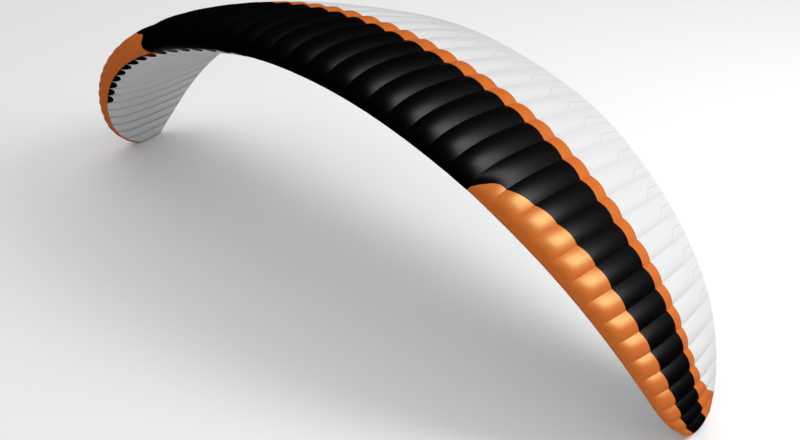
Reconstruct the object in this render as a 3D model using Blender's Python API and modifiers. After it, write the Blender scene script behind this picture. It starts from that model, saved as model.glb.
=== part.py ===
"""Paraglider wing: a hollow ram-air canopy of sewn cloth, 49 cells wide, standing on its two level tips.

The leading edge faces -Y, +X runs from the middle to one tip, and the origin is under the middle of the
wing, on the surface that the tips stand on. Every rib section is worked out from the table of stations,
and every sheet is a loft through the ribs that it is sewn to, ballooned between them.
"""

import math

import bpy
import numpy as np

# Driving dimensions, in metres and degrees.
CELLS = 49
HALF_SPAN = 5.70  # along the arc, from the middle to a tip
CELL_TAPER = 0.41  # how much of the width a cell at the tip would lose
CELL_TAPER_POWER = 2.2
STANCE = 5.8  # the whole wing is tipped nose up by this, which levels its tips
LOWER_DEPTH = 0.7  # depth of a section below its chord line, as a share of that above it
CLOTH = 0.002
SEAM_GAP = 0.0006  # between two sheets that are sewn edge to edge
NOSE_GAP = 0.0018  # the same along both edges of the nose cloth, where the surface turns
RIB_CLEAR = 0.0009  # between a rib's edge and the inner face of the sheets
OUTER_RIB_CLEAR = 0.0018  # the same next to a tip, where the cloth turns most
OUTER_RIBS = 2  # how many ribs before each tip stand that clear
TIP_CLEAR = 0.0009  # between a tip plate and the edges of the sheets above it
TRAILING_HALF = 0.0024  # half of the height that the two sheets have at the trailing edge
RIB_END = 0.965  # share of the chord where a rib ends, ahead of the trailing edge
BALLOON_UPPER = 0.13  # height of a cell's bulge, as a share of its width
BALLOON_LOWER = 0.08
BALLOON_FULL = 0.30  # run from which the upper bulge has its full height
LIP_EASE = 0.20  # the lower bulge is full this far behind the lip, which is held straight

# Stations along the half span. at: share of the half span, lean: angle of the arc from level, chord and
# sweep (how far aft the nose sits): metres, twist and rake: degrees, depth: twice the depth above the
# chord line, as a share of the chord, band_end and stripe_end: shares of the chord.
STATION_COLUMNS = ("at", "lean", "chord", "sweep", "twist", "rake", "depth", "band_end", "stripe_end")
STATIONS = (
    (0.00, 0.0, 2.85, 0.000, 2.7, 0.0, 0.185, 0.404, 0.487),
    (0.20, 11.4, 2.76, 0.030, 2.6, 0.0, 0.193, 0.404, 0.487),
    (0.40, 21.8, 2.66, 0.085, 2.7, 0.0, 0.195, 0.402, 0.482),
    (0.55, 32.3, 2.38, 0.165, 2.0, 0.0, 0.194, 0.409, 0.490),
    (0.68, 43.2, 2.04, 0.305, 0.6, 0.0, 0.190, 0.417, 0.497),
    (0.79, 53.2, 1.72, 0.485, -0.2, 0.0, 0.185, 0.422, 0.500),
    (0.87, 62.0, 1.41, 0.665, -0.4, 0.2, 0.178, 0.430, 0.512),
    (0.93, 70.0, 1.11, 0.855, -0.6, 1.3, 0.170, 0.455, 0.630),
    (0.97, 75.5, 0.80, 1.065, -1.3, 3.2, 0.163, 0.500, 0.870),
    (1.00, 79.5, 0.42, 1.350, -2.6, 5.5, 0.158, 0.575, 0.930),
)

# A place around a section is its run: the square root of the share of the chord, from -1 at the trailing
# edge below, through 0 at the nose, to +1 at the trailing edge above.
LIP_RUN = -0.20  # lower edge of the nose cloth, which is the upper lip of each air intake
INTAKE_RUN = -0.29  # rear of an intake, at the middle of its cell
FIRST_INTAKE = 6  # cells nearer than this to a tip are closed

# Rear edge of the orange nose cloth, for the ribs counted from a tip, as runs.
NOSE_PANEL_RIBS = 15
NOSE_EDGE_COLUMNS = ("rib", "run")
NOSE_EDGE = ((0, 0.32), (1, 0.34), (3, 0.38), (10, 0.38), (12, 0.35), (13, 0.315), (14, 0.245), (15, -0.10))
POINT_WIDTH = 0.004  # width of the white panel where it runs out at the trailing edge, one cell from a tip

# At the rib between the outer and middle sheets of the nose, the middle one alone shapes the rib.
OUTER_SHEETS = ("nose_orange_left", "nose_orange_right", "upper_black_left", "upper_black_right")

# How many facets each sheet has along the chord, and across one cell.
NOSE_ROWS, BAND_ROWS, STRIPE_ROWS, REAR_ROWS, LOWER_ROWS = 3, 5, 1, 2, 4
UPPER_STEPS, LOWER_STEPS = 3, 4

BLACK = ("black_cloth", (0.012, 0.012, 0.013, 1.0), 0.45)
ORANGE = ("orange_cloth", (0.80, 0.20, 0.03, 1.0), 0.5)
WHITE = ("white_cloth", (0.80, 0.80, 0.79, 1.0), 0.55)
GREY = ("rib_cloth", (0.62, 0.62, 0.61, 1.0), 0.6)


def column(name):
    """One column of the table of stations."""
    return np.array([row[STATION_COLUMNS.index(name)] for row in STATIONS])


def along(name, at):
    """A smooth value of this column at any share of the half span, level at the middle but for the lean."""
    knots, values = column("at"), column(name)
    gap = np.diff(knots)
    rise = np.diff(values) / gap
    slope = np.empty(len(knots))
    slope[0] = rise[0] if name == "lean" else 0.0
    slope[1:-1] = (rise[:-1] * gap[1:] + rise[1:] * gap[:-1]) / (gap[1:] + gap[:-1])
    slope[-1] = 1.5 * rise[-1] - 0.5 * slope[-2]
    at = np.abs(at)
    k = np.clip(np.searchsorted(knots, at, side="right") - 1, 0, len(gap) - 1)
    s = (at - knots[k]) / gap[k]
    ends = values[k] * (1 + 2 * s) * (1 - s) ** 2 + values[k + 1] * s * s * (3 - 2 * s)
    return ends + gap[k] * s * (1 - s) * (slope[k] * (1 - s) - slope[k + 1] * s)


def rib_places():
    """Where each rib stands, from +1 at one tip to -1 at the other, the outer cells being narrower."""
    middle = (np.arange(CELLS) + 0.5) / CELLS * 2 - 1
    width = 1 - CELL_TAPER * np.abs(middle) ** CELL_TAPER_POWER
    return 1 - 2 * np.concatenate([[0], np.cumsum(width)]) / width.sum()


def arc_point(at):
    """Place on the arc that the noses follow, before sweep: X and Z."""
    shares = np.linspace(0, 1, 401)
    lean = np.radians(along("lean", shares))
    step = shares[1] * HALF_SPAN
    x = np.concatenate([[0], np.cumsum(np.cos(lean[1:]) + np.cos(lean[:-1])) / 2 * step])
    z = np.concatenate([[0], np.cumsum(np.sin(lean[1:]) + np.sin(lean[:-1])) / 2 * step])
    return math.copysign(np.interp(abs(at), shares, x), at), -np.interp(abs(at), shares, z)


def stand_up(points):
    """Tips points nose up about the X axis by the stance."""
    cos, sin = math.cos(math.radians(STANCE)), math.sin(math.radians(STANCE))
    return points @ np.array([(1, 0, 0), (0, cos, -sin), (0, sin, cos)])


def section_height(run, depth):
    """Height above the chord line, as a share of the chord: a blunt nose and a thin tail."""
    x = np.asarray(run, float) ** 2
    curve = 0.2969 * np.sqrt(x) - 0.1260 * x - 0.3516 * x**2 + 0.2843 * x**3 - 0.1036 * x**4
    return 5 * depth * curve * np.where(np.asarray(run) < 0, -LOWER_DEPTH, 1.0)


class Section:
    """The section of the wing at one rib: a flat outline, and where its plane stands."""

    def __init__(self, index, at):
        self.index = index
        self.chord = float(along("chord", at))
        self.depth = float(along("depth", at))
        self.band_end = math.sqrt(along("band_end", at))
        self.stripe_end = math.sqrt(along("stripe_end", at))
        lean = math.radians(along("lean", at)) * math.copysign(1, at)
        rake = math.radians(along("rake", at)) * math.copysign(1, at)
        twist = math.radians(along("twist", at))
        x, z = arc_point(at)
        outward = np.array([math.sin(lean), 0.0, math.cos(lean)])
        span = np.array([math.cos(lean), 0.0, -math.sin(lean)])
        aft = np.array([0.0, 1.0, 0.0]) * math.cos(rake) - span * math.sin(rake)
        self.nose = stand_up(np.array([x, float(along("sweep", at)), z]))
        self.aft = stand_up(aft * math.cos(twist) - outward * math.sin(twist))
        self.outward = stand_up(aft * math.sin(twist) + outward * math.cos(twist))
        self.floor = None

    def flat(self, run):
        """Aft and up of the nose, in metres, in the plane of the section."""
        run = np.asarray(run, float)
        up = section_height(run, self.depth) * self.chord + np.sign(run) * run**2 * TRAILING_HALF
        return np.stack([run**2 * self.chord, up], -1)

    def place(self, flat):
        """Points of the section's plane in space. A tip's own outline lies level on its floor."""
        points = self.nose + flat[..., :1] * self.aft + flat[..., 1:] * self.outward
        if self.floor is not None:
            points[..., 2] = self.floor
        return points

    def point(self, run):
        return self.place(self.flat(run))

    def run_beside(self, run, distance):
        """The run that lies this far around the section from another one."""
        ends = self.flat([run, run + 1e-4 * math.copysign(1, distance)])
        return run + 1e-4 * distance / np.linalg.norm(ends[1] - ends[0])


def sections():
    """All the wing's sections, lowered so that the two tip outlines lie level just above the surface."""
    found = [Section(index, at) for index, at in enumerate(rib_places())]
    around = np.linspace(-1, 1, 41)
    drop = found[0].point(around)[:, 2].mean() - CLOTH - TIP_CLEAR
    for section in found:
        section.nose[2] -= drop
    for tip in (found[0], found[-1]):
        tip.floor = CLOTH + TIP_CLEAR
    return found


def smooth(share):
    """An even rise from 0 to 1."""
    share = np.clip(share, 0, 1)
    return share * share * (3 - 2 * share)


def balloon(run):
    """Height of a bulge, as a share of its cell's width: none at the tail, nor at the lip below the nose."""
    above = BALLOON_UPPER * smooth((run - LIP_RUN) / (BALLOON_FULL - LIP_RUN))
    below = BALLOON_LOWER * smooth((LIP_RUN - run) / LIP_EASE)
    return (above + below) * (1 - run**4)


def cell_points(first, second, share, first_runs, second_runs):
    """A line of points along the chord, on the ballooned cloth between two sections."""
    around = 1e-3
    base = first.point(first_runs) * (1 - share) + second.point(second_runs) * share
    before = first.point(first_runs - around) * (1 - share) + second.point(second_runs - around) * share
    after = first.point(first_runs + around) * (1 - share) + second.point(second_runs + around) * share
    across = second.point(second_runs) - first.point(second_runs)
    outward = np.cross(after - before, across)
    outward /= np.linalg.norm(outward, axis=1, keepdims=True)
    width = np.linalg.norm(first.nose - second.nose)
    runs = first_runs * (1 - share) + second_runs * share
    height = width * balloon(runs) * 4 * share * (1 - share)
    return base + outward * height[:, None]


def sheet_grid(found, sheet):
    """A grid of points for one sheet: a line for each step across its cells.

    A sheet that ends at an inner rib stops a seam gap short of it, where its neighbour begins.
    """
    lines = []
    start, end = sheet["ribs"]
    for first in range(start, end):
        hold = SEAM_GAP / np.linalg.norm(found[first].nose - found[first + 1].nose)
        low = hold if 0 < first == start else 0
        high = 1 - hold if first + 1 == end < CELLS else 1
        for step in range(sheet["steps"] + (first + 1 == end)):
            share = min(max(step / sheet["steps"], low), high)
            scallop = intake_scallop(first, share) if sheet["intakes"] else 0.0
            eased = np.linspace(0, scallop, len(sheet["runs"][first]))
            runs = [sheet["runs"][rib] + eased for rib in (first, first + 1)]
            lines.append(cell_points(found[first], found[first + 1], share, *runs))
    return np.array(lines)


def intake_scallop(first, share):
    """How far the lower cloth's front edge stands back from the lip, across one cell."""
    if not FIRST_INTAKE <= first < CELLS - FIRST_INTAKE:
        return 0.0
    return (INTAKE_RUN - LIP_RUN) * math.sqrt(4 * share * (1 - share))


def nose_edge(index):
    """Rear edge of the orange nose cloth at a rib: the lip itself between the two orange panels."""
    from_tip = min(index, CELLS - index)
    if from_tip > NOSE_PANEL_RIBS:
        return LIP_RUN
    ribs, runs = zip(*NOSE_EDGE)
    return float(np.interp(from_tip, ribs, runs))


def stripe_edge(section):
    """Rear edge of the orange stripe at a rib: it takes in the whole rear of each tip."""
    from_tip = min(section.index, CELLS - section.index)
    if from_tip == 0:
        return 1.0
    if from_tip == 1:
        return section.run_beside(1.0, -POINT_WIDTH)
    return section.stripe_end


def spread(starts, ends, rows):
    """Runs for every rib, evenly spread from one edge of a sheet to the other."""
    return [np.linspace(start, end, rows + 1) for start, end in zip(starts, ends)]


def sheets_of(found):
    """Each sheet's ribs, colour and facets, and the runs of its lines of points at every rib."""
    seam, turn = SEAM_GAP / 2, NOSE_GAP / 2
    left, right = NOSE_PANEL_RIBS, CELLS - NOSE_PANEL_RIBS

    def moved(runs, distance):
        return [section.run_beside(run, distance) for section, run in zip(found, runs)]

    lips = [LIP_RUN] * len(found)
    noses = [nose_edge(section.index) for section in found]
    bands = [section.band_end for section in found]
    stripes = [stripe_edge(section) for section in found]
    tails = [1.0] * len(found)

    nose = spread(moved(lips, turn), moved(noses, -turn), NOSE_ROWS)
    middle = spread(moved(lips, turn), moved(bands, -seam), BAND_ROWS)
    outer = spread(moved(noses, turn), moved(bands, -seam), BAND_ROWS)
    for rib in (left, right):
        outer[rib][1:] = middle[rib][1:]
    stripe_ends = [run if run == 1 else edge for run, edge in zip(stripes, moved(stripes, -seam))]
    stripe = spread(moved(bands, seam), stripe_ends, STRIPE_ROWS)
    rear = spread(moved(stripes, seam), tails, REAR_ROWS)
    lower = spread([-1.0] * len(found), moved(lips, -turn), LOWER_ROWS)

    def sheet(ribs, cloth, runs, steps=UPPER_STEPS, intakes=False):
        return {"ribs": ribs, "cloth": cloth, "runs": runs, "steps": steps, "intakes": intakes}

    return {
        "nose_orange_left": sheet((0, left), ORANGE, nose),
        "nose_orange_right": sheet((right, CELLS), ORANGE, nose),
        "upper_black_left": sheet((0, left), BLACK, outer),
        "upper_black_middle": sheet((left, right), BLACK, middle),
        "upper_black_right": sheet((right, CELLS), BLACK, outer),
        "upper_orange_stripe": sheet((0, CELLS), ORANGE, stripe),
        "upper_white_panel": sheet((1, CELLS - 1), WHITE, rear),
        "lower_white_panel": sheet((0, CELLS), WHITE, lower, LOWER_STEPS, True),
    }


def section_runs(sheets, index):
    """Every run at which a sheet has a line of points on this rib, once each, from tail to tail."""
    inner = index in (NOSE_PANEL_RIBS, CELLS - NOSE_PANEL_RIBS)
    runs = [1.0]
    for name, sheet in sheets.items():
        covered = sheet["ribs"][0] <= index <= sheet["ribs"][1]
        if covered and not (inner and name in OUTER_SHEETS):
            runs += list(sheet["runs"][index][:-1])
    return np.array(sorted(runs))


def inset(outline, distance):
    """An open outline moved to its right by this distance, with mitred corners."""
    ahead = np.diff(outline, axis=0)
    ahead /= np.linalg.norm(ahead, axis=1, keepdims=True)
    right = np.stack([ahead[:, 1], -ahead[:, 0]], -1)
    right = np.concatenate([right[:1], right, right[-1:]])
    before, after = right[:-1], right[1:]
    mitre = (before + after) / (1 + (before * after).sum(1))[:, None]
    return outline + mitre * distance


def rib_outline(section, runs):
    """Outline of a rib in its own plane, clear of the sheets around it and cut off ahead of the tail."""
    from_tip = min(section.index, CELLS - section.index)
    clear = OUTER_RIB_CLEAR if from_tip <= OUTER_RIBS else RIB_CLEAR
    outline = inset(section.flat(runs), CLOTH + clear)
    nose = outline[:, 0].argmin()
    end = RIB_END * section.chord
    below = np.interp(end, outline[nose::-1, 0], outline[nose::-1, 1])
    above = np.interp(end, outline[nose:, 0], outline[nose:, 1])
    kept = outline[outline[:, 0] < end]
    return np.concatenate([[(end, below)], kept, [(end, above)]])


def material(named):
    """A Principled material, made once for each cloth."""
    name, colour, roughness = named
    made = bpy.data.materials.get(name)
    if made is None:
        made = bpy.data.materials.new(name)
        made.use_nodes = True
        made.diffuse_color = colour
        shader = made.node_tree.nodes["Principled BSDF"]
        shader.inputs["Base Color"].default_value = colour
        shader.inputs["Roughness"].default_value = roughness
        shader.inputs["Metallic"].default_value = 0.0
    return made


def add_cloth(name, points, faces, cloth, side, parent):
    """A surface thickened to cloth: to its inner side (-1), or evenly about itself (0)."""
    mesh = bpy.data.meshes.new(name)
    mesh.from_pydata([tuple(point) for point in points], [], faces)
    mesh.materials.append(material(cloth))
    obj = bpy.data.objects.new(name, mesh)
    bpy.data.collections["paraglider_wing"].objects.link(obj)
    obj.parent = parent
    solidify = obj.modifiers.new("thickness", "SOLIDIFY")
    solidify.thickness = CLOTH
    solidify.offset = side
    return obj


def add_sheet(name, grid, cloth, parent):
    """A sheet lofted through a grid of points, whose lines run from tip to tip."""
    lines, rows = grid.shape[:2]
    corners = np.arange(lines * rows).reshape(lines, rows)
    loops = np.stack([corners[:-1, :-1], corners[:-1, 1:], corners[1:, 1:], corners[1:, :-1]], -1)
    mirrored = grid[:-1, :-1, 0] + grid[1:, :-1, 0] < 0  # so that both halves split into like triangles
    loops[mirrored] = np.roll(loops[mirrored], 1, axis=-1)
    return add_cloth(name, grid.reshape(-1, 3), loops.reshape(-1, 4).tolist(), cloth, -1.0, parent)


def add_rib(name, points, parent):
    """A flat rib, or the plate that closes a tip."""
    return add_cloth(name, points, [list(range(len(points)))], GREY, 0.0, parent)


def clear_scene():
    """Empties the file and makes the collection that holds the wing."""
    for obj in list(bpy.data.objects):
        bpy.data.objects.remove(obj, do_unlink=True)
    wing = bpy.data.collections.new("paraglider_wing")
    bpy.context.scene.collection.children.link(wing)
    return wing


def build():
    wing = clear_scene()
    middle = bpy.data.objects.new("middle", None)
    wing.objects.link(middle)
    found = sections()
    sheets = sheets_of(found)
    grids = {name: sheet_grid(found, sheet) for name, sheet in sheets.items()}
    aft = np.concatenate([grid[..., 1].ravel() for grid in grids.values()])
    middle.location.y = -(aft.min() + aft.max()) / 2
    for name, grid in grids.items():
        add_sheet(name, grid, sheets[name]["cloth"], middle)
    for section in found:
        runs = section_runs(sheets, section.index)
        if section.floor is None:
            add_rib(f"rib_{section.index:02d}", section.place(rib_outline(section, runs)), middle)
        else:
            section.floor = CLOTH / 2
            side = "left" if section.index == 0 else "right"
            add_rib(f"tip_plate_{side}", section.point(runs), middle)


build()
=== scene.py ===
"""The looks of the paraglider wing: fine cloth in place of each plain sheet, with its seams, hems, ribs and
air intakes, on a plain pale floor.

The wing stands in the frame's own axes: the leading edge faces -Y, +X runs to the pilot's left tip, and
the origin is under the middle of the wing, on the floor.
"""

import math

import bpy
import numpy as np
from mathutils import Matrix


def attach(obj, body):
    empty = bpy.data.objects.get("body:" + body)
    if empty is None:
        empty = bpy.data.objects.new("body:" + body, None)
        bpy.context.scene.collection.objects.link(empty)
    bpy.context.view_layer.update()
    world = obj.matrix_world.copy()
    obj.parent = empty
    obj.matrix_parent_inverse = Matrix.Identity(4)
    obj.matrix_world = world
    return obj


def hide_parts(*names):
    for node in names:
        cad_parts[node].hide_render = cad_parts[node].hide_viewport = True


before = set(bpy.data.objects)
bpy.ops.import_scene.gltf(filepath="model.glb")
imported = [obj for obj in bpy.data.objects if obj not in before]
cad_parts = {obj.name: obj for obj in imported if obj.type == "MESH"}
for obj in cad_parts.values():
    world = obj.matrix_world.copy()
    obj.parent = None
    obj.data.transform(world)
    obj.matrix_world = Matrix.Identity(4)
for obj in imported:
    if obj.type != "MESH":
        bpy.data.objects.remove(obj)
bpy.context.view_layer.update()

# The wing's own sizes, the same as its solids have, in metres and degrees.
CELLS = 49
HALF_SPAN = 5.70  # along the arc, from the middle to a tip
CELL_TAPER = 0.41  # how much of the width a cell at the tip would lose
CELL_TAPER_POWER = 2.2
STANCE = 5.8  # the whole wing is tipped nose up by this, which levels its tips
LOWER_DEPTH = 0.7  # depth of a section below its chord line, as a share of that above it
TRAILING_HALF = 0.0024  # half of the height that the solid sheets have at the trailing edge
SOLID_EDGE = 0.0029  # height above the floor of the solid sheets' edges at a tip
MIDDLE_AFT = -1.4051  # moves the nose of the middle section so that the wing is centred over the origin

# Stations along the half span. at: share of the half span, lean: angle of the arc from level, chord and
# sweep (how far aft the nose sits): metres, twist and rake: degrees, depth: twice the depth above the
# chord line, as a share of the chord, band_end and stripe_end: shares of the chord.
STATION_COLUMNS = ("at", "lean", "chord", "sweep", "twist", "rake", "depth", "band_end", "stripe_end")
STATIONS = (
    (0.00, 0.0, 2.85, 0.000, 2.7, 0.0, 0.185, 0.404, 0.487),
    (0.20, 11.4, 2.76, 0.030, 2.6, 0.0, 0.193, 0.404, 0.487),
    (0.40, 21.8, 2.66, 0.085, 2.7, 0.0, 0.195, 0.402, 0.482),
    (0.55, 32.3, 2.38, 0.165, 2.0, 0.0, 0.194, 0.409, 0.490),
    (0.68, 43.2, 2.04, 0.305, 0.6, 0.0, 0.190, 0.417, 0.497),
    (0.79, 53.2, 1.72, 0.485, -0.2, 0.0, 0.185, 0.422, 0.500),
    (0.87, 62.0, 1.41, 0.665, -0.4, 0.2, 0.178, 0.430, 0.512),
    (0.93, 70.0, 1.11, 0.855, -0.6, 1.3, 0.170, 0.455, 0.630),
    (0.97, 75.5, 0.80, 1.065, -1.3, 3.2, 0.163, 0.500, 0.870),
    (1.00, 79.5, 0.42, 1.350, -2.6, 5.5, 0.158, 0.575, 0.930),
)

# A place around a section is its run: the square root of the share of the chord, from -1 at the trailing
# edge below, through 0 at the nose, to +1 at the trailing edge above.
LIP_RUN = -0.20  # lower edge of the nose cloth, which is the upper lip of each air intake
INTAKE_RUN = -0.29  # rear of an intake, at the middle of its cell
FIRST_INTAKE = 6  # cells nearer than this to a tip are closed

# Rear edge of the orange nose cloth, for the ribs counted from a tip, as runs.
NOSE_PANEL_RIBS = 15
NOSE_EDGE = ((0, 0.32), (1, 0.34), (3, 0.38), (10, 0.38), (12, 0.35), (13, 0.315), (14, 0.245), (15, -0.10))
NOSE_TURN = 0.40  # power of the curve by which that edge turns down to the lip, across its last cell
POINT_WIDTH = 0.004  # width of the white cloth where it runs out at the trailing edge, one cell from a tip

# The bulges of the cells, rounder than in the solids.
BALLOON_UPPER = 0.15  # height of a cell's bulge, as a share of its width
BALLOON_LOWER = 0.13
BALLOON_START = -0.08  # run at which the upper bulge starts
BALLOON_FULL = 0.22  # run from which it has its full height
LIP_EASE = 0.20  # the lower bulge is full this far behind the lip, which is held straight

# What the solids leave out: the cloth's real thinness, its seams and its hems.
CLOTH = 0.0008
BUTT = 0.0003  # between two sheets that are sewn edge to edge
TAIL_RUN = 0.97  # from here on the sheets close towards each other at the trailing edge
TAIL_CLOSED = 0.75  # how much of the height between them is lost there
RIB_CLOTH = 0.0005
RIB_CLEAR = 0.0002  # between a rib's edge and the inner face of the sheets
RIB_END = 0.985  # share of the chord where a rib ends
TIP_EDGE = 0.0012  # height above the floor of the sheets' edges at a tip, just over the tip's own cloth
HEM = 0.016  # width of a turned hem
HEM_HEIGHT = 0.0012
HEM_FALL = 0.25  # share of a hem's width in which its inner edge falls off
SEAM_BAND = (0.004, 0.012)  # inward of a seam: from where to where its darker, doubled band fades out
PAINTED_FOLD_SHADE_BAND = (0.0, 0.09)  # the same on white cloth, as a wider band of painted shade in the folds between its bulges

# The lines where a mini rib is sewn to the white upper cloth: off a rib, then aft along the middle of a
# cell. from_tip: the cell counted from its tip, corner: where a line turns aft, and start: where it leaves
# the rib, both as shares of the chord. Cells before the first row have its values.
MINI_RIB_COLUMNS = ("from_tip", "corner", "start")
MINI_RIBS = (
    (7, 0.880, 0.810),
    (9, 0.865, 0.768),
    (12, 0.855, 0.760),
    (14, 0.820, 0.720),
    (24, 0.820, 0.720),
)
MINI_RIB_FIRST = 6  # the outermost cell that has one, counted from its tip
MINI_RIB_END = 0.995  # share of the chord where a line ends
MINI_RIB_WIDTH = 0.014
MINI_RIB_RISE = 0.0003  # height above the cloth
MINI_RIB_POINTS = 9  # on each of the two stretches of a line, which share one
MINI_RIB_SINK = 0.30  # how much of the bulge a mini rib holds down at the trailing edge
MINI_RIB_EASE = 0.05  # how far ahead of its corner it starts to do so, as a share of the chord
MINI_RIB_REACH = 1 / 3  # how far it does so to each side of the cell's middle, as a share of the width

# The colours that show inside the air intakes, by the rib counted from its tip.
BLACK_RIBS = 13
ORANGE_RIBS = 15

THREAD_PITCH = 0.005  # of the thicker threads of the ripstop cloth
THREAD_WIDTH = 0.0006
THREAD_HEIGHT = 0.0002
THREAD_BUMP = 0.25  # strength of their relief
NO_TINT = (1.0, 1.0, 1.0)  # of a gloss as white as its light

# How fine the meshes are: steps across a cell, and rows along the chord.
CELL_STEPS = 16
NOSE_ROWS, MIDDLE_ROWS, OUTER_ROWS, STRIPE_ROWS, REAR_ROWS, LOWER_ROWS = 27, 42, 27, 8, 25, 40
RIB_ROWS, TIP_ROWS = 49, 40
RIB_STEPS = 4  # from a rib's lower edge to its upper one
SHARP_EDGE = 18.0  # faces that meet at more degrees than this meet at a crisp edge
ARC_STEPS = 400  # of the sum that gives the arc
LEVEL_STEPS = 40  # between the points of a tip's outline that give its height
DIRECTION_STEP = 1e-3  # a small run, over which a surface's direction is measured
LENGTH_STEP = 1e-4  # a smaller one, over which a length around a section is measured

# Camera, from its angles about the point that it looks at.
CAMERA_AZIMUTH = 41.655
CAMERA_ELEVATION = 32.654
CAMERA_DISTANCE = 12.535
CAMERA_TARGET = (-0.0128, 0.4747, 0.1501)
CAMERA_LENS = 44.33  # millimetres, as the sensor's width
CAMERA_SENSOR = 36.0
CAMERA_REACH = 300.0  # how far it sees, in metres

# Stage: a floor, a studio that is bright overhead and dim at the sides, and two panels of light that face
# the wing. The key light is behind the near tip. The gloss light is what the gloss of the cloth shows.
FLOOR_HALF = 60.0
FLOOR_COLOUR = (0.93, 0.93, 0.93)
FLOOR_ROUGHNESS = 0.8
STUDIO_SIDES = 0.42
STUDIO_TOP = 1.00
STUDIO_RISE = 0.40  # how high a direction is where the studio turns brighter, 1 being straight up
LIT_MIDDLE = (0.0, 0.0, 1.5)
LIGHT_DISTANCE = 16.0
KEY_DIRECTION = (0.65, 0.34, 0.66)
KEY_IRRADIANCE = 1.60  # at the wing, in W/m2
KEY_SIZE = (5.0, 9.0)  # its width and its height
GLOSS_DIRECTION = (0.66, 0.20, 0.70)
GLOSS_IRRADIANCE = 6.5
GLOSS_SIZE = (7.0, 13.0)


# --- The shape of the wing -------------------------------------------------------------------------------


def column(name):
    """One column of the table of stations."""
    return np.array([row[STATION_COLUMNS.index(name)] for row in STATIONS])


def along(name, at):
    """A smooth value of this column at any share of the half span, level at the middle but for the lean."""
    knots, values = column("at"), column(name)
    gap = np.diff(knots)
    rise = np.diff(values) / gap
    slope = np.empty(len(knots))
    slope[0] = rise[0] if name == "lean" else 0.0
    slope[1:-1] = (rise[:-1] * gap[1:] + rise[1:] * gap[:-1]) / (gap[1:] + gap[:-1])
    slope[-1] = 1.5 * rise[-1] - 0.5 * slope[-2]
    at = np.abs(at)
    k = np.clip(np.searchsorted(knots, at, side="right") - 1, 0, len(gap) - 1)
    s = (at - knots[k]) / gap[k]
    ends = values[k] * (1 + 2 * s) * (1 - s) ** 2 + values[k + 1] * s * s * (3 - 2 * s)
    return ends + gap[k] * s * (1 - s) * (slope[k] * (1 - s) - slope[k + 1] * s)


def rib_places():
    """Where each rib stands, from +1 at the left tip to -1 at the right one. Outer cells are narrower."""
    middle = (np.arange(CELLS) + 0.5) / CELLS * 2 - 1
    width = 1 - CELL_TAPER * np.abs(middle) ** CELL_TAPER_POWER
    return 1 - 2 * np.concatenate([[0], np.cumsum(width)]) / width.sum()


def arc_point(at):
    """Place on the arc that the noses follow, before sweep: X and Z."""
    shares = np.linspace(0, 1, ARC_STEPS + 1)
    lean = np.radians(along("lean", shares))
    step = shares[1] * HALF_SPAN
    x = np.concatenate([[0], np.cumsum(np.cos(lean[1:]) + np.cos(lean[:-1])) / 2 * step])
    z = np.concatenate([[0], np.cumsum(np.sin(lean[1:]) + np.sin(lean[:-1])) / 2 * step])
    return math.copysign(np.interp(abs(at), shares, x), at), -np.interp(abs(at), shares, z)


def stand_up(points):
    """Tips points nose up about the X axis by the stance."""
    cos, sin = math.cos(math.radians(STANCE)), math.sin(math.radians(STANCE))
    return points @ np.array([(1, 0, 0), (0, cos, -sin), (0, sin, cos)])


def smooth(share):
    """An even rise from 0 to 1."""
    share = np.clip(share, 0, 1)
    return share * share * (3 - 2 * share)


def section_height(run, depth):
    """Height above the chord line, as a share of the chord: a blunt nose and a thin tail."""
    x = np.asarray(run, float) ** 2
    curve = 0.2969 * np.sqrt(x) - 0.1260 * x - 0.3516 * x**2 + 0.2843 * x**3 - 0.1036 * x**4
    return 5 * depth * curve * np.where(np.asarray(run) < 0, -LOWER_DEPTH, 1.0)


class Section:
    """The section of the wing at one rib: a flat outline, and where its plane stands."""

    def __init__(self, index, at):
        self.index = index
        self.chord = float(along("chord", at))
        self.depth = float(along("depth", at))
        self.band_end = math.sqrt(along("band_end", at))
        self.stripe_end = math.sqrt(along("stripe_end", at))
        lean = math.radians(along("lean", at)) * math.copysign(1, at)
        rake = math.radians(along("rake", at)) * math.copysign(1, at)
        twist = math.radians(along("twist", at))
        x, z = arc_point(at)
        outward = np.array([math.sin(lean), 0.0, math.cos(lean)])
        span = np.array([math.cos(lean), 0.0, -math.sin(lean)])
        aft = np.array([0.0, 1.0, 0.0]) * math.cos(rake) - span * math.sin(rake)
        self.nose = stand_up(np.array([x, float(along("sweep", at)), z]))
        self.aft = stand_up(aft * math.cos(twist) - outward * math.sin(twist))
        self.outward = stand_up(aft * math.sin(twist) + outward * math.cos(twist))
        self.floor = None

    def flat(self, run):
        """Aft and up of the nose, in metres, in the plane of the section. The tail closes to a thin edge."""
        run = np.asarray(run, float)
        closed = TAIL_CLOSED * smooth((np.abs(run) - TAIL_RUN) / (1 - TAIL_RUN))
        opening = TRAILING_HALF * run**2 * (1 - closed)
        up = section_height(run, self.depth) * self.chord + np.sign(run) * opening
        return np.stack([run**2 * self.chord, up], -1)

    def outline(self, end, rows):
        """The flat outline from this run below, round the nose, to the same run above."""
        runs = np.linspace(0, end, rows + 1)
        return self.flat(np.concatenate([-runs[:0:-1], runs]))

    def place(self, flat):
        """Points of the section's plane in space. A tip's own outline lies level."""
        points = self.nose + flat[..., :1] * self.aft + flat[..., 1:] * self.outward
        if self.floor is not None:
            points[..., 2] = self.floor
        return points

    def point(self, run):
        """Points on the section's outline, in space."""
        return self.place(self.flat(run))

    def run_beside(self, run, distance):
        """The run that lies this far around the section from another one."""
        ends = self.flat([run, run + LENGTH_STEP * math.copysign(1, distance)])
        return run + LENGTH_STEP * distance / np.linalg.norm(ends[1] - ends[0])


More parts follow.
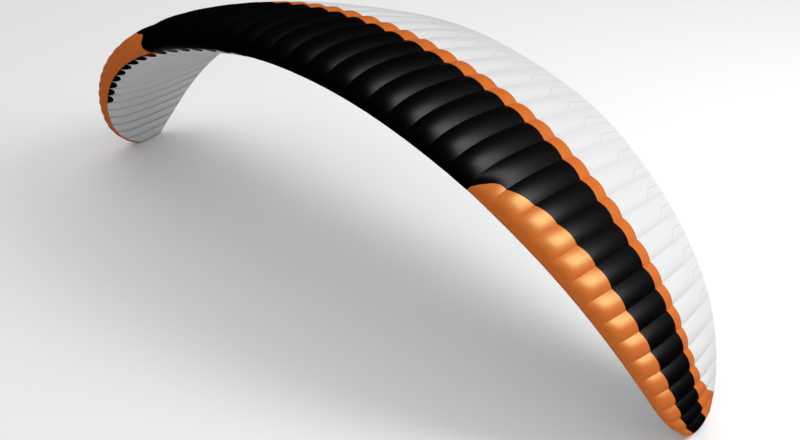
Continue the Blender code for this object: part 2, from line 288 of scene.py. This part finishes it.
def sections():
    """All the wing's sections, in their places over the floor."""
    found = [Section(index, at) for index, at in enumerate(rib_places())]
    around = np.linspace(-1, 1, LEVEL_STEPS + 1)
    drop = found[0].point(around)[:, 2].mean() - SOLID_EDGE
    for section in found:
        section.nose += (0, MIDDLE_AFT, -drop)
    for tip in (found[0], found[-1]):
        tip.floor = TIP_EDGE
    return found


def rib_from_tip(index):
    """A rib's number from the nearer tip, from 0 at the tip itself."""
    return min(index, CELLS - index)


def cell_from_tip(cell):
    """A cell's number from the nearer tip, from 0."""
    return min(cell, CELLS - 1 - cell)


def balloon(run):
    """Height of a bulge, as a share of its cell's width: none at the tail, nor at the lip below the nose."""
    above = BALLOON_UPPER * smooth((run - BALLOON_START) / (BALLOON_FULL - BALLOON_START))
    below = BALLOON_LOWER * smooth((LIP_RUN - run) / LIP_EASE)
    return (above + below) * (1 - run**4)


def mini_rib_at(cell, name):
    """The share of the chord where the line of this cell's mini rib turns, or where it leaves the rib."""
    rows = np.array(MINI_RIBS)
    return float(np.interp(cell_from_tip(cell), rows[:, 0], rows[:, MINI_RIB_COLUMNS.index(name)]))


def held_down(cell, runs, share):
    """What is left of a bulge where a mini rib holds down the middle of its cell."""
    if cell_from_tip(cell) < MINI_RIB_FIRST:
        return 1.0
    start = mini_rib_at(cell, "corner") - MINI_RIB_EASE
    aft = smooth((runs**2 - start) / (1 - start)) * (runs > 0)
    return 1 - MINI_RIB_SINK * aft * max(1 - abs(share - 0.5) / MINI_RIB_REACH, 0)


def cell_points(found, cell, share, first_runs, second_runs, relief=0.0):
    """A line of points along the chord, on the cloth between two sections or this relief above it."""
    first, second = found[cell], found[cell + 1]

    def straight(shift):
        return first.point(first_runs + shift) * (1 - share) + second.point(second_runs + shift) * share

    across = second.point(second_runs) - first.point(second_runs)
    outward = np.cross(straight(DIRECTION_STEP) - straight(-DIRECTION_STEP), across)
    outward /= np.linalg.norm(outward, axis=1, keepdims=True)
    width = np.linalg.norm(first.nose - second.nose)
    runs = first_runs * (1 - share) + second_runs * share
    height = width * balloon(runs) * 4 * share * (1 - share) * held_down(cell, runs, share) + relief
    return straight(0) + outward * height[:, None]


def line_lengths(line):
    """The distance along a line of points, from its first point to each one."""
    return np.concatenate([[0], np.cumsum(np.linalg.norm(np.diff(line, axis=0), axis=1))])


# --- The sheets of cloth ---------------------------------------------------------------------------------


def intake_scallop(cell, share):
    """How far the lower cloth's front edge stands back from the lip, across one cell."""
    if cell_from_tip(cell) < FIRST_INTAKE:
        return 0.0
    return (INTAKE_RUN - LIP_RUN) * math.sqrt(max(4 * share * (1 - share), 0))


def nose_edge(index):
    """Rear edge of the orange nose cloth at a rib: the lip itself between the two orange panels."""
    rib = rib_from_tip(index)
    if rib > NOSE_PANEL_RIBS:
        return LIP_RUN
    ribs, runs = zip(*NOSE_EDGE)
    return float(np.interp(rib, ribs, runs))


def nose_bow(cell, share):
    """How far that edge lies aft of the straight line across the cell where it turns down to the lip."""
    if cell_from_tip(cell) != NOSE_PANEL_RIBS - 1:
        return 0.0
    inner = 1 - share if cell < CELLS / 2 else share
    return (nose_edge(NOSE_PANEL_RIBS - 1) - nose_edge(NOSE_PANEL_RIBS)) * (inner**NOSE_TURN - inner)


def stripe_edge(section):
    """Rear edge of the orange stripe at a rib: it takes in the whole rear of each tip."""
    rib = rib_from_tip(section.index)
    if rib == 0:
        return 1.0
    if rib == 1:
        return section.run_beside(1.0, -POINT_WIDTH)
    return section.stripe_end


def spread(starts, ends, rows):
    """Runs for every rib, evenly spread from one edge of a sheet to the other."""
    return [np.linspace(start, end, rows + 1) for start, end in zip(starts, ends)]


def sheets_of(found):
    """Each sheet: its node, slot and material, its ribs, the runs of its points at every rib, how its
    front and rear edges shift within a cell, and whether each of them is hemmed.
    """
    left, right = NOSE_PANEL_RIBS, CELLS - NOSE_PANEL_RIBS

    def moved(runs, distance):
        return [section.run_beside(run, distance) for section, run in zip(found, runs)]

    lips = [LIP_RUN] * len(found)
    noses = [nose_edge(section.index) for section in found]
    bands = [section.band_end for section in found]
    stripes = [stripe_edge(section) for section in found]
    tails = [1.0] * len(found)
    stripe_ends = [run if run == 1 else edge for run, edge in zip(stripes, moved(stripes, -BUTT))]

    nose = spread(lips, moved(noses, -BUTT), NOSE_ROWS)
    middle = spread(lips, moved(bands, -BUTT), MIDDLE_ROWS)
    outer = spread(noses, moved(bands, -BUTT), OUTER_ROWS)
    stripe = spread(bands, stripe_ends, STRIPE_ROWS)
    rear = spread(stripes, tails, REAR_ROWS)
    lower = spread([-run for run in tails], moved(lips, -BUTT), LOWER_ROWS)

    def sheet(node, slot, ribs, runs, shifts=(None, None), hems=(False, False), material=None):
        return {
            "node": node,
            "slot": slot,
            "material": material or slot,
            "ribs": ribs,
            "runs": runs,
            "shifts": shifts,
            "hems": hems,
        }

    def nose_sheet(side, ribs):
        return sheet(f"nose_orange_{side}", "orange_cloth", ribs, nose, (None, nose_bow), (True, False))

    def outer_sheet(side, ribs):
        return sheet(f"upper_black_{side}", "black_cloth", ribs, outer, (nose_bow, None))

    return {
        "nose_cloth_left": nose_sheet("left", (0, left)),
        "nose_cloth_right": nose_sheet("right", (right, CELLS)),
        "band_cloth_left": outer_sheet("left", (0, left)),
        "band_cloth_middle": sheet(
            "upper_black_middle", "black_cloth", (left, right), middle, hems=(True, False)
        ),
        "band_cloth_right": outer_sheet("right", (right, CELLS)),
        "stripe_cloth": sheet("upper_orange_stripe", "orange_cloth", (0, CELLS), stripe),
        "rear_cloth": sheet("upper_white_panel", "white_cloth", (1, CELLS - 1), rear, hems=(False, True)),
        "lower_cloth": sheet(
            "lower_white_panel",
            "white_cloth",
            (0, CELLS),
            lower,
            shifts=(None, intake_scallop),
            hems=(True, True),
            # The lower cloth gets a darker copy of the white cloth's material: painted shade for the
            # underside.
            material="lower_cloth",
        ),
    }


def hem_relief(lengths, hems):
    """Height of the hems at a sheet's front and rear edge, along a line of its points."""
    height = np.zeros(len(lengths))
    for hemmed, from_edge in zip(hems, (lengths, lengths[-1] - lengths)):
        if hemmed:
            height += HEM_HEIGHT * smooth((1 - from_edge / HEM) / HEM_FALL)
    return height


def sheet_lines(sheet):
    """For each line of a sheet's points along the chord: its cell, its place across it, and its runs."""
    start, end = sheet["ribs"]
    front, rear = sheet["shifts"]
    for cell in range(start, end):
        for step in range(CELL_STEPS + (cell + 1 == end)):
            share = step / CELL_STEPS
            count = len(sheet["runs"][cell])
            shift = np.zeros(count)
            if front:
                shift += front(cell, share) * np.linspace(1, 0, count)
            if rear:
                shift += rear(cell, share) * np.linspace(0, 1, count)
            yield cell, share, sheet["runs"][cell] + shift, sheet["runs"][cell + 1] + shift


def sheet_grid(found, sheet):
    """Points of one sheet, their places in its flat cloth, and their distance inward of a rib, in metres."""
    points, flat, seams = [], [], []
    bulged = 1 + 8 / 3 * balloon(np.array(sheet["runs"])).max() ** 2  # an arch's length, against its base
    widths = [np.linalg.norm(one.nose - other.nose) * bulged for one, other in zip(found, found[1:])]
    for cell, share, *runs in sheet_lines(sheet):
        lengths = line_lengths(cell_points(found, cell, share, *runs))
        line = cell_points(found, cell, share, *runs, relief=hem_relief(lengths, sheet["hems"]))
        across = sum(widths[sheet["ribs"][0] : cell]) + share * widths[cell]
        points.append(line)
        flat.append(np.stack([np.full(len(line), across), lengths], -1))
        inward = share if cell < CELLS / 2 else 1 - share
        seams.append(np.full(len(line), (inward if share else 0) * widths[cell]))
    return np.array(points), np.array(flat), np.array(seams)


def add_mesh(name, points, faces, material):
    """A mesh object with smooth faces."""
    mesh = bpy.data.meshes.new(name)
    mesh.from_pydata(np.asarray(points).tolist(), [], np.asarray(faces).tolist())
    mesh.materials.append(material)
    mesh.shade_smooth()
    obj = bpy.data.objects.new(name, mesh)
    bpy.context.scene.collection.objects.link(obj)
    return obj


def grid_faces(lines, rows):
    """The faces of a grid of points."""
    corners = np.arange(lines * rows).reshape(lines, rows)
    loops = np.stack([corners[:-1, :-1], corners[:-1, 1:], corners[1:, 1:], corners[1:, :-1]], -1)
    return loops.reshape(-1, 4)


def add_uvs(mesh, name, places):
    """A place for every point of the mesh, in metres."""
    corners = np.empty(len(mesh.loops), np.int32)
    mesh.loops.foreach_get("vertex_index", corners)
    layer = mesh.uv_layers.new(name=name)
    layer.data.foreach_set("uv", places.reshape(-1, 2)[corners].astype(np.float32).ravel())


def thicken(obj, thickness, side):
    """Gives a surface the thickness of its cloth, with square edges."""
    solidify = obj.modifiers.new("cloth", "SOLIDIFY")
    solidify.thickness = thickness
    solidify.offset = side
    graph = bpy.context.evaluated_depsgraph_get()
    thick = bpy.data.meshes.new_from_object(obj.evaluated_get(graph))
    obj.modifiers.clear()
    obj.data = thick
    thick.set_sharp_from_angle(angle=math.radians(SHARP_EDGE))


def mesh_area(points, faces):
    """The area of a mesh of four-sided faces."""
    corners = points[faces]
    diagonals = np.cross(corners[:, 2] - corners[:, 0], corners[:, 3] - corners[:, 1])
    return float(np.linalg.norm(diagonals, axis=1).sum() / 2)


def add_cloth(name, node, slot, material, grid, flat, thickness, side=0.0, seams=None):
    """A sheet of cloth that stands for this node, from a grid of points and their places in the flat cloth.

    side is -1 where the points are on its outer face, and 0 where they are in the middle of it.
    """
    points, faces = grid.reshape(-1, 3), grid_faces(*grid.shape[:2])
    obj = add_mesh(name, points, faces, material)
    add_uvs(obj.data, "cloth", flat)
    if seams is not None:
        add_uvs(obj.data, "seam", np.stack([seams, np.zeros_like(seams)], -1))
    thicken(obj, thickness, side)
    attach(obj, "root")
    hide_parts(node)
    width, length = np.ptp(flat, axis=(0, 1)).tolist()
    area = min(mesh_area(points, faces), width * length)


def add_sheet(name, sheet, found, materials):
    """One sheet of the wing's outer cloth."""
    grid, flat, seams = sheet_grid(found, sheet)
    add_cloth(
        name,
        sheet["node"],
        sheet["slot"],
        materials[sheet["material"]],
        grid,
        flat,
        CLOTH,
        side=-1.0,
        seams=seams,
    )


def inset(outline, distance):
    """An open outline moved to its right by this distance, with mitred corners."""
    ahead = np.diff(outline, axis=0)
    ahead /= np.linalg.norm(ahead, axis=1, keepdims=True)
    right = np.stack([ahead[:, 1], -ahead[:, 0]], -1)
    right = np.concatenate([right[:1], right, right[-1:]])
    before, after = right[:-1], right[1:]
    mitre = (before + after) / (1 + (before * after).sum(1))[:, None]
    return outline + mitre * distance


def filled(outline):
    """Points that fill an outline, each row of them running along it from its nose to its tail."""
    nose = len(outline) // 2
    below, above = outline[nose::-1], outline[nose:]
    return np.stack([below * (1 - step) + above * step for step in np.linspace(0, 1, RIB_STEPS + 1)])


def add_rib(section, materials):
    """One rib."""
    rib = rib_from_tip(section.index)
    slot = "black_cloth" if rib <= BLACK_RIBS else "orange_cloth" if rib <= ORANGE_RIBS else "rib_cloth"
    flat = filled(inset(section.outline(math.sqrt(RIB_END), RIB_ROWS), CLOTH + RIB_CLEAR))
    name, node = f"rib_cloth_{section.index:02d}", f"rib_{section.index:02d}"
    add_cloth(name, node, slot, materials[slot], section.place(flat), flat, RIB_CLOTH)


def add_tip(section, side, materials):
    """The cloth that closes a tip, level on the floor."""
    flat = filled(section.outline(1, TIP_ROWS))
    points = section.place(flat)
    points[..., 2] = TIP_EDGE / 2
    slot = "rib_cloth"
    add_cloth(f"tip_cloth_{side}", f"tip_plate_{side}", slot, materials[slot], points, flat, CLOTH)


def mini_rib_path(cell):
    """The line of one mini rib: shares across the cell and shares of the chord."""
    rib_side = 0.0 if cell < CELLS / 2 else 1.0
    corner, start = mini_rib_at(cell, "corner"), mini_rib_at(cell, "start")
    off = np.linspace(0, 1, MINI_RIB_POINTS)[:-1]
    diagonal = np.stack([rib_side + (0.5 - rib_side) * off, start + (corner - start) * off], -1)
    aft = np.linspace(corner, MINI_RIB_END, MINI_RIB_POINTS)
    return np.concatenate([diagonal, np.stack([np.full(MINI_RIB_POINTS, 0.5), aft], -1)])


def mini_rib_tape(found, cell):
    """A grid of points for the tape along that line, two points wide."""

    def raised(height):
        line = []
        for share, chord in mini_rib_path(cell):
            run = np.array([math.sqrt(chord)])
            line.append(cell_points(found, cell, share, run, run, relief=height)[0])
        return np.array(line)

    middle = raised(MINI_RIB_RISE)
    outward = raised(MINI_RIB_RISE + DIRECTION_STEP) - middle
    side = np.cross(outward, np.gradient(middle, axis=0))
    side *= MINI_RIB_WIDTH / 2 / np.linalg.norm(side, axis=1, keepdims=True)
    return np.stack([middle - side, middle + side])


def add_mini_ribs(found, materials):
    """The lines where mini ribs are sewn to the upper cloth, as thin tapes. The middle cell shows none."""
    points, faces = [], []
    for cell in range(MINI_RIB_FIRST, CELLS - MINI_RIB_FIRST):
        if cell == CELLS // 2:
            continue
        grid = mini_rib_tape(found, cell)
        faces.append(grid_faces(*grid.shape[:2]) + sum(len(part) for part in points))
        points.append(grid.reshape(-1, 3))
    obj = add_mesh(
        "mini_rib_seams", np.concatenate(points), np.concatenate(faces), materials["seam_tape"]
    )
    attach(obj, "root")
    return obj


# --- Materials -------------------------------------------------------------------------------------------


def principled(name, colour, roughness, specular, tint=NO_TINT):
    """A Principled material, its nodes and its shader."""
    material = bpy.data.materials.new(name)
    material.use_nodes = True
    shader = material.node_tree.nodes["Principled BSDF"]
    shader.inputs["Base Color"].default_value = (*colour, 1)
    shader.inputs["Roughness"].default_value = roughness
    shader.inputs["Specular IOR Level"].default_value = specular
    shader.inputs["Specular Tint"].default_value = (*tint, 1)
    return material, material.node_tree, shader


def math_node(tree, operation, first, second):
    """The result of this operation on two values, each a number or a socket."""
    made = tree.nodes.new("ShaderNodeMath")
    made.operation = operation
    for socket, value in zip(made.inputs, (first, second)):
        if isinstance(value, bpy.types.NodeSocket):
            tree.links.new(value, socket)
        else:
            socket.default_value = value
    return made.outputs[0]


def place_in(tree, layer):
    """The two coordinates of a point in this layer of places."""
    places = tree.nodes.new("ShaderNodeUVMap")
    places.uv_map = layer
    split = tree.nodes.new("ShaderNodeSeparateXYZ")
    tree.links.new(places.outputs[0], split.inputs[0])
    return split.outputs[0], split.outputs[1]


def ripstop(tree):
    """1 on the thicker threads, which run both ways through the cloth, and 0 between them."""
    threads = [
        math_node(tree, "LESS_THAN", math_node(tree, "PINGPONG", place, THREAD_PITCH / 2), THREAD_WIDTH / 2)
        for place in place_in(tree, "cloth")
    ]
    return math_node(tree, "MAXIMUM", *threads)


def shade(tree, colour, mask, strength):
    """The colour, darkened by this strength where the mask is 1."""
    mix = tree.nodes.new("ShaderNodeMix")
    mix.data_type = "RGBA"
    socket = {name: [i for i in mix.inputs if i.identifier == name][0] for name in ("A_Color", "B_Color")}
    tree.links.new(mask, mix.inputs[0])
    if isinstance(colour, bpy.types.NodeSocket):
        dark = tree.nodes.new("ShaderNodeVectorMath")
        dark.operation = "SCALE"
        dark.inputs["Scale"].default_value = 1 - strength
        tree.links.new(colour, dark.inputs[0])
        tree.links.new(colour, socket["A_Color"])
        tree.links.new(dark.outputs[0], socket["B_Color"])
    else:
        socket["A_Color"].default_value = (*colour, 1)
        socket["B_Color"].default_value = (*(part * (1 - strength) for part in colour), 1)
    return [o for o in mix.outputs if o.identifier == "Result_Color"][0]


def near_seam(tree, band):
    """1 at a seam, and 0 beyond the end of this band on its inner side, where the doubled cloth lies; with
    the fold band it marks where painted shade goes, in the fold between two bulges.
    """
    fall = tree.nodes.new("ShaderNodeMapRange")
    fall.interpolation_type = "SMOOTHSTEP"
    fall.inputs["From Min"].default_value, fall.inputs["From Max"].default_value = band
    fall.inputs["To Min"].default_value, fall.inputs["To Max"].default_value = 1, 0
    tree.links.new(place_in(tree, "seam")[0], fall.inputs["Value"])
    return fall.outputs[0]


def cloth_material(
    name, colour, roughness, specular, thread_shade, seam_and_painted_fold_shade=0.0, band=SEAM_BAND, tint=NO_TINT
):
    """Coated ripstop cloth: a grid of thicker threads, and a darker band along a rib, which is the doubled
    cloth there or, with the fold band, painted shade in the fold between two bulges.
    """
    material, tree, shader = principled(name, colour, roughness, specular, tint)
    threads = ripstop(tree)
    shaded = shade(tree, colour, threads, thread_shade)
    if seam_and_painted_fold_shade:
        shaded = shade(tree, shaded, near_seam(tree, band), seam_and_painted_fold_shade)
    tree.links.new(shaded, shader.inputs["Base Color"])
    bump = tree.nodes.new("ShaderNodeBump")
    bump.inputs["Strength"].default_value = THREAD_BUMP
    bump.inputs["Distance"].default_value = THREAD_HEIGHT
    tree.links.new(threads, bump.inputs["Height"])
    tree.links.new(bump.outputs[0], shader.inputs["Normal"])
    return material


def make_materials():
    """The wing's cloths. thread_shade says how much darker the threads are, and seam_and_painted_fold_shade
    how much darker the band along each rib is: the doubled cloth at a seam, or on the white cloths painted
    shade in the folds between the bulges.
    """
    return {
        "black_cloth": cloth_material(
            "black_ripstop",
            colour=(0.0006, 0.0006, 0.0008),
            roughness=0.42,
            specular=0.11,
            thread_shade=0.10,
            seam_and_painted_fold_shade=0.10,
        ),
        "orange_cloth": cloth_material(
            "orange_ripstop",
            colour=(0.64, 0.132, 0.014),
            roughness=0.44,
            specular=0.65,
            thread_shade=0.03,
            seam_and_painted_fold_shade=0.02,
            tint=(1.0, 0.95, 0.40),
        ),
        # The white cloth's seam band is painted shade in the folds between its bulges.
        "white_cloth": cloth_material(
            "white_ripstop",
            colour=(0.71, 0.71, 0.715),
            roughness=0.50,
            specular=0.30,
            thread_shade=0.02,
            seam_and_painted_fold_shade=0.08,
            band=PAINTED_FOLD_SHADE_BAND,
        ),
        # A darker copy of the white cloth: its lower colour is painted shade for the underside, and its
        # strong seam band is painted shade in the folds between its bulges.
        "lower_cloth": cloth_material(
            "white_ripstop_lower_painted_shade",
            colour=(0.60, 0.61, 0.62),
            roughness=0.50,
            specular=0.30,
            thread_shade=0.03,
            seam_and_painted_fold_shade=0.42,
            band=PAINTED_FOLD_SHADE_BAND,
        ),
        "rib_cloth": cloth_material(
            "rib_ripstop", colour=(0.82, 0.82, 0.81), roughness=0.60, specular=0.30, thread_shade=0.03
        ),
        "seam_tape": principled("seam_tape", colour=(0.60, 0.60, 0.61), roughness=0.60, specular=0.30)[0],
    }


# --- Stage -----------------------------------------------------------------------------------------------


def add_floor():
    """A wide pale floor, which the gloss of the cloth doesn't show."""
    floor = add_mesh(
        "floor",
        [(x * FLOOR_HALF, y * FLOOR_HALF, 0) for x, y in ((-1, -1), (1, -1), (1, 1), (-1, 1))],
        [(0, 1, 2, 3)],
        principled("pale_floor", FLOOR_COLOUR, FLOOR_ROUGHNESS, specular=0.0)[0],
    )
    floor.visible_glossy = False


def add_camera():
    """The camera, at the photograph's angle."""
    camera = bpy.data.objects.new("camera", bpy.data.cameras.new("camera"))
    bpy.context.scene.collection.objects.link(camera)
    azimuth, elevation = math.radians(CAMERA_AZIMUTH), math.radians(CAMERA_ELEVATION)
    level = math.cos(elevation)
    back = np.array([math.sin(azimuth) * level, -math.cos(azimuth) * level, math.sin(elevation)])
    camera.location = np.array(CAMERA_TARGET) + back * CAMERA_DISTANCE
    camera.rotation_euler = (math.pi / 2 - elevation, 0, azimuth)
    camera.data.lens = CAMERA_LENS
    camera.data.sensor_width = CAMERA_SENSOR
    camera.data.clip_end = CAMERA_REACH
    bpy.context.scene.camera = camera


def add_studio():
    """The world, bright overhead and dim at the sides. The gloss of the cloth doesn't show it."""
    world = bpy.data.worlds.new("studio")
    bpy.context.scene.world = world
    world.use_nodes = True
    tree = world.node_tree
    direction = tree.nodes.new("ShaderNodeTexCoord")
    split = tree.nodes.new("ShaderNodeSeparateXYZ")
    rise = tree.nodes.new("ShaderNodeMapRange")
    rise.interpolation_type = "SMOOTHSTEP"
    rise.inputs["From Min"].default_value = STUDIO_RISE
    rise.inputs["To Min"].default_value = STUDIO_SIDES
    rise.inputs["To Max"].default_value = STUDIO_TOP
    tree.links.new(direction.outputs["Generated"], split.inputs[0])
    tree.links.new(split.outputs["Z"], rise.inputs["Value"])
    background = tree.nodes["Background"]
    background.inputs["Color"].default_value = (1, 1, 1, 1)
    tree.links.new(rise.outputs[0], background.inputs["Strength"])
    world.cycles_visibility.glossy = False


def add_light(name, irradiance, size, direction):
    """A panel light that faces the middle of the wing, and lights it with this many W/m2."""
    data = bpy.data.lights.new(name, "AREA")
    data.energy = irradiance * math.pi * LIGHT_DISTANCE**2
    data.shape = "RECTANGLE"
    data.size, data.size_y = size
    light = bpy.data.objects.new(name, data)
    bpy.context.scene.collection.objects.link(light)
    toward = np.array(direction) / np.linalg.norm(direction)
    light.location = np.array(LIT_MIDDLE) + toward * LIGHT_DISTANCE
    light.rotation_euler = (math.acos(toward[2]), 0, math.atan2(toward[0], -toward[1]))
    return light


def light_scene():
    """The studio, a key light that gives the cloth no gloss, and a larger one that gives it nothing else."""
    add_studio()
    add_light("key", KEY_IRRADIANCE, KEY_SIZE, KEY_DIRECTION).visible_glossy = False
    add_light("gloss", GLOSS_IRRADIANCE, GLOSS_SIZE, GLOSS_DIRECTION).visible_diffuse = False
    bpy.context.scene.view_settings.view_transform = "Standard"


def main():
    materials = make_materials()
    found = sections()
    mini_ribs = add_mini_ribs(found, materials)
    for name, sheet in sheets_of(found).items():
        add_sheet(name, sheet, found, materials)
    for section in found[1:-1]:
        add_rib(section, materials)
    add_tip(found[0], "left", materials)
    add_tip(found[-1], "right", materials)
    add_floor()
    add_camera()
    light_scene()


main()
